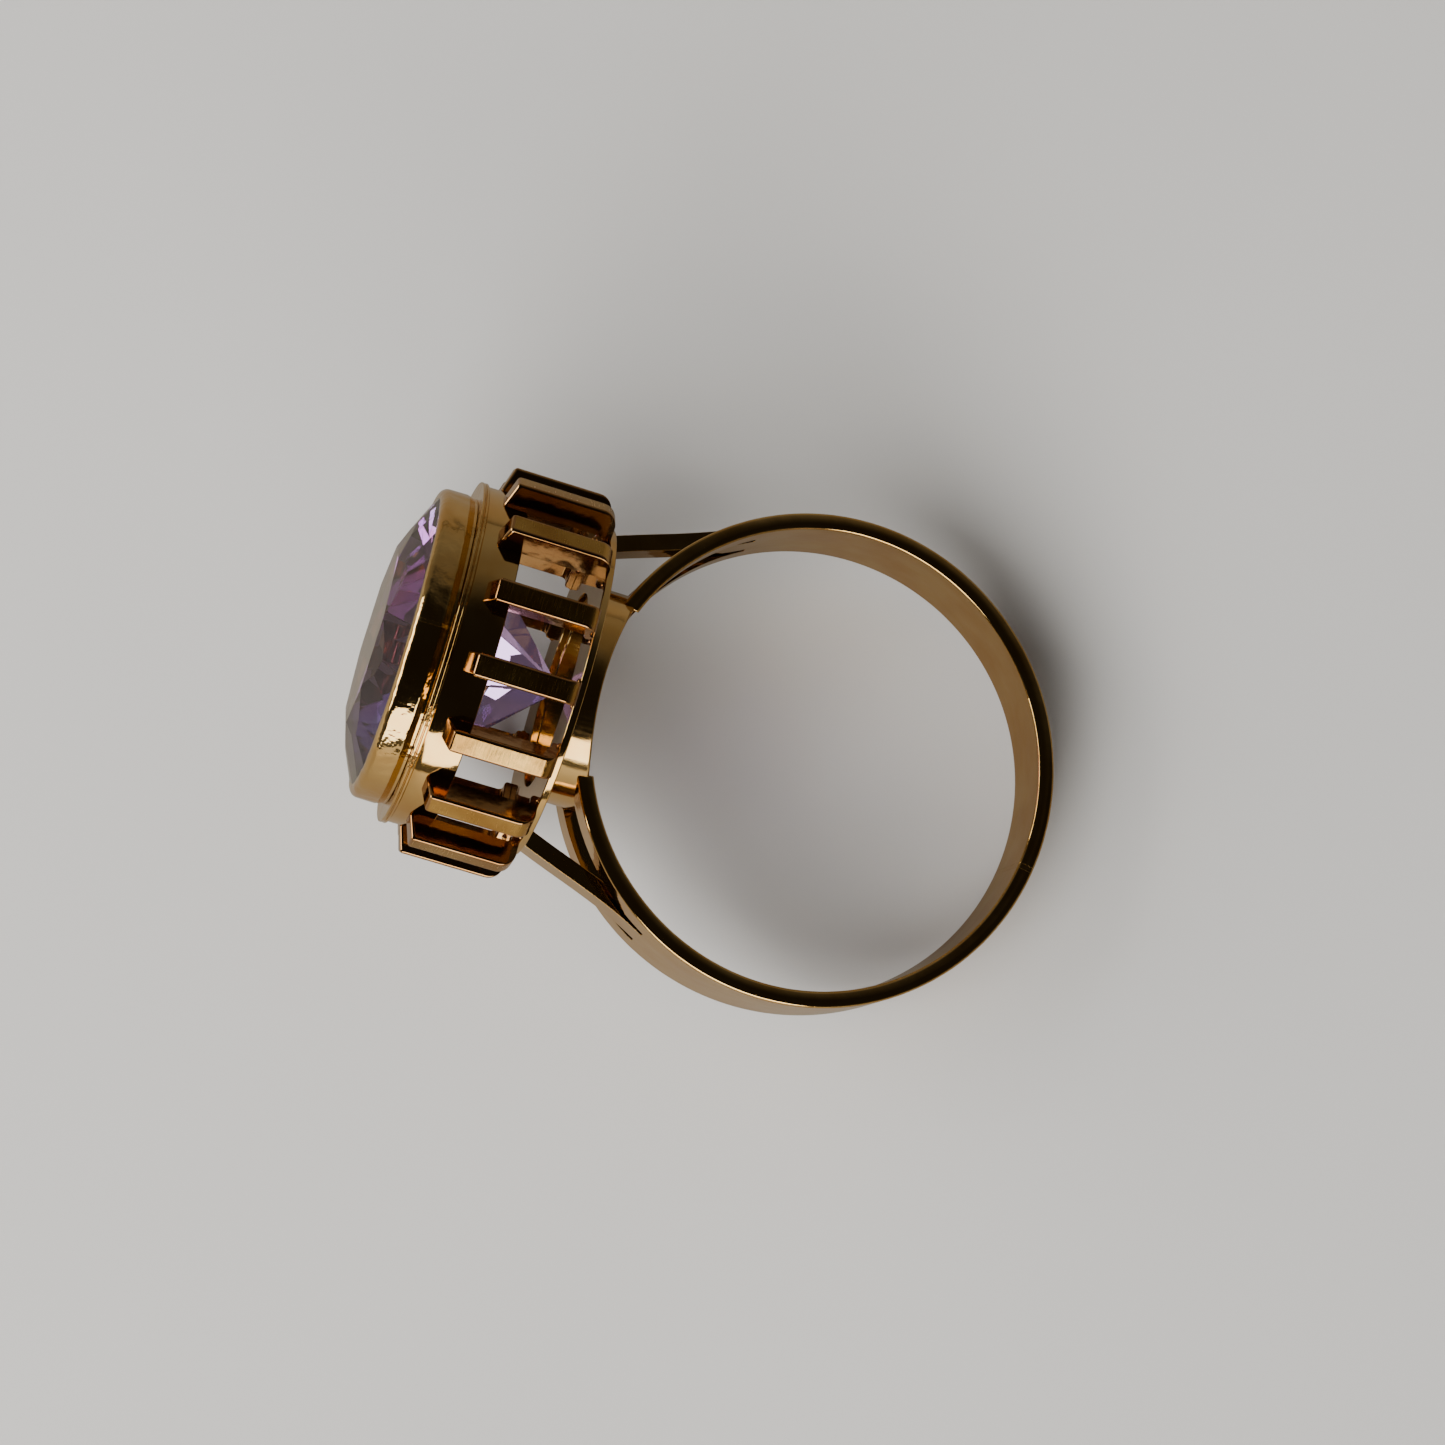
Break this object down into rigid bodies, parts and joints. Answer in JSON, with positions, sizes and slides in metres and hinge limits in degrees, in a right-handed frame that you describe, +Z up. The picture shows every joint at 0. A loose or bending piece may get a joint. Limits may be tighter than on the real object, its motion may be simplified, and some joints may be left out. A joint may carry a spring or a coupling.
{
  "type": "cocktail ring",
  "caption": "Finger ring with a large round faceted stone in a smooth bezel, on an open drum cage of upright bars and a flat band with split shoulders.",
  "frame": {"origin": "centre of the finger hole, on its axis and at the middle of the band's width", "axes": "the ring lies on its side: +X from the stone towards the back of the band, +Z up from the surface it lies on; the finger axis leans from +Z towards +X by about 16.4 degrees"},
  "size_m": [0.0278, 0.0193, 0.0157],
  "materials": {
    "polished_gold": "polished 14 carat yellow gold with fine wear scratches",
    "satin_gold": "14 carat yellow gold, filed satin outer faces, polished sides",
    "amethyst": "polished facets"
  },
  "bodies": {
    "root": {"amethyst": "amethyst", "shank": "polished_gold", "bezel": "polished_gold", "bearing_ring": "polished_gold", "bezel_flange": "polished_gold", "collar": "polished_gold", "base_plate": "polished_gold", "gallery_tube": "polished_gold", "bar_01": "satin_gold", "bar_02": "satin_gold", "bar_03": "satin_gold", "bar_04": "satin_gold", "bar_05": "satin_gold", "bar_06": "satin_gold", "bar_07": "satin_gold", "bar_08": "satin_gold", "bar_09": "satin_gold", "bar_10": "satin_gold", "bar_11": "satin_gold", "bar_12": "satin_gold", "bar_13": "satin_gold", "bar_14": "satin_gold", "bar_15": "satin_gold", "bar_16": "satin_gold"}
  },
  "joints": []
}
